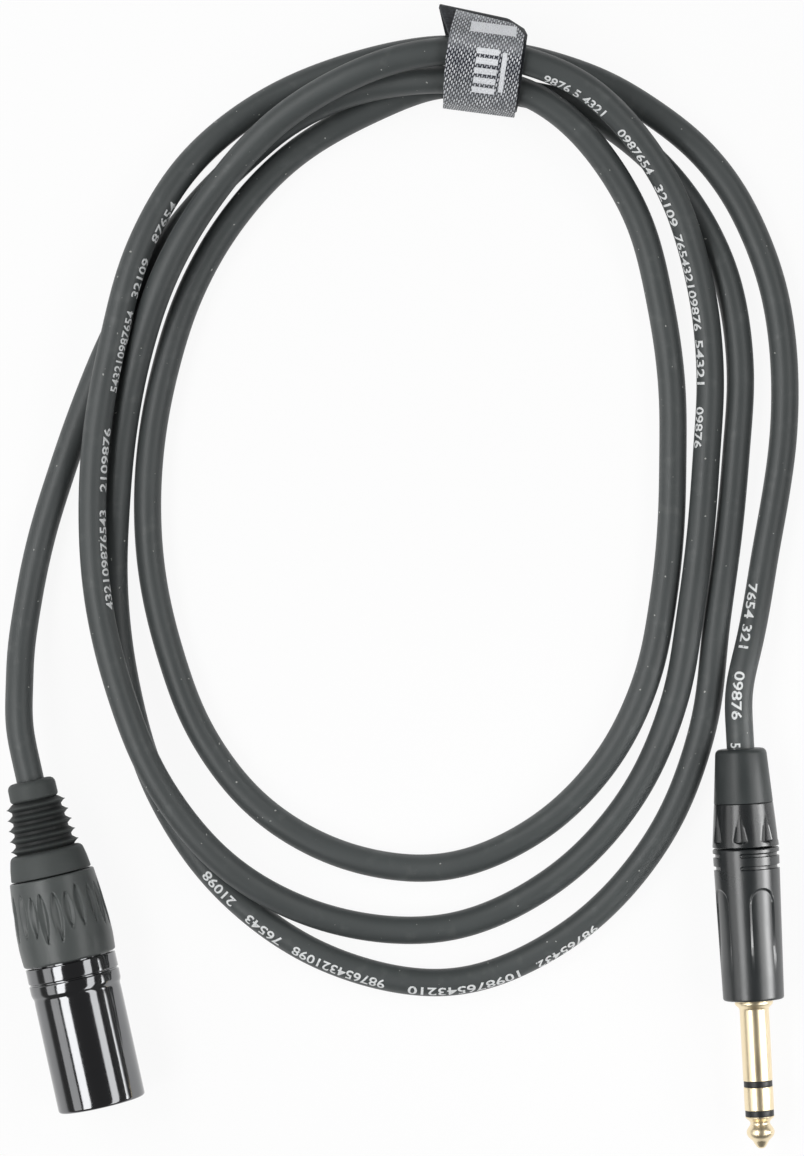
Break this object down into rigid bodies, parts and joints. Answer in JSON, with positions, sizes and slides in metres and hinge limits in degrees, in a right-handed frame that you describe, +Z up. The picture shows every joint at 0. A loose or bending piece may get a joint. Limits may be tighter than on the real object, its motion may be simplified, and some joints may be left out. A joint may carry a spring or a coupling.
{
  "type": "microphone lead",
  "caption": "Balanced audio lead with an XLR plug and a quarter-inch jack plug, put away in loose turns under a hook-and-loop strap.",
  "frame": {"origin": "on the surface that the lead lies on, below the middle of the box of the plugs and the strap", "axes": "+Z up, +Y from the plugs' noses towards the strap, +X from the XLR plug towards the jack plug"},
  "size_m": [0.1718, 0.2476, 0.022],
  "materials": {
    "jacket": "matte moulded PVC",
    "boot_rubber": "matte",
    "grip_plastic": "satin",
    "black_nickel": "polished black nickel",
    "barrel_black": "gloss",
    "bushing_black": "gloss",
    "gold_plating": "polished gold plating",
    "contact_plating": "plated",
    "black_plastic": "satin",
    "pale_plastic": "matte",
    "core_insulation": "satin",
    "loop_fabric": "brushed loop",
    "hook_fabric": "hook tape",
    "label_weave": "woven"
  },
  "bodies": {
    "lead": {"cable_coil": "jacket", "cable_tail_xlr": "jacket", "cable_tail_jack": "jacket", "cable_end_xlr": "jacket", "cable_end_jack": "jacket", "xlr_chuck": "pale_plastic", "xlr_shell": "black_nickel", "xlr_insert": "black_plastic", "xlr_pin_1": "contact_plating", "xlr_pin_2": "contact_plating", "xlr_pin_3": "contact_plating", "xlr_ground_contact": "contact_plating", "xlr_cores": "core_insulation", "jack_clamp": "pale_plastic", "jack_barrel": "barrel_black", "jack_liner": "pale_plastic", "jack_sleeve": "gold_plating", "jack_insulator_rear": "black_plastic", "jack_ring": "gold_plating", "jack_insulator_front": "black_plastic", "jack_tip": "gold_plating", "jack_cores": "core_insulation", "strap_band": "loop_fabric"},
    "xlr_boot": {"xlr_boot": "boot_rubber"},
    "xlr_bushing": {"xlr_bushing": "grip_plastic"},
    "jack_boot": {"jack_boot": "boot_rubber"},
    "jack_bushing": {"jack_bushing": "bushing_black"},
    "strap_flap": {"strap_hook_tape": "hook_fabric", "strap_label": "label_weave"}
  },
  "joints": [
    {"name": "xlr_boot_slide", "type": "slide", "parent": "lead", "child": "xlr_boot", "axis": [-0.2164, 0.9763, 0], "range_m": [0, 0.005]},
    {"name": "xlr_bushing_turn", "type": "hinge", "parent": "xlr_boot", "child": "xlr_bushing", "pos_m": [-0.0785, -0.0437, 0.0103], "axis": [-0.2164, 0.9763, 0], "range_deg": [0, 1800]},
    {"name": "jack_boot_slide", "type": "slide", "parent": "lead", "child": "jack_boot", "axis": [-0.0523, 0.9986, 0], "range_m": [0, 0.005]},
    {"name": "jack_bushing_turn", "type": "hinge", "parent": "jack_boot", "child": "jack_bushing", "pos_m": [0.075, -0.0369, 0.0072], "axis": [-0.0523, 0.9986, 0], "range_deg": [0, 1800]},
    {"name": "strap_peel", "type": "hinge", "parent": "lead", "child": "strap_flap", "pos_m": [0.01855, 0.10137, 0.00245], "axis": [0.9914, -0.1305, 0], "range_deg": [0, 95]}
  ],
  "couplings": [
    {"joint": "xlr_boot_slide", "follows": "xlr_bushing_turn", "m_per_rad": 0.00015915},
    {"joint": "jack_boot_slide", "follows": "jack_bushing_turn", "m_per_rad": 0.00015915}
  ]
}
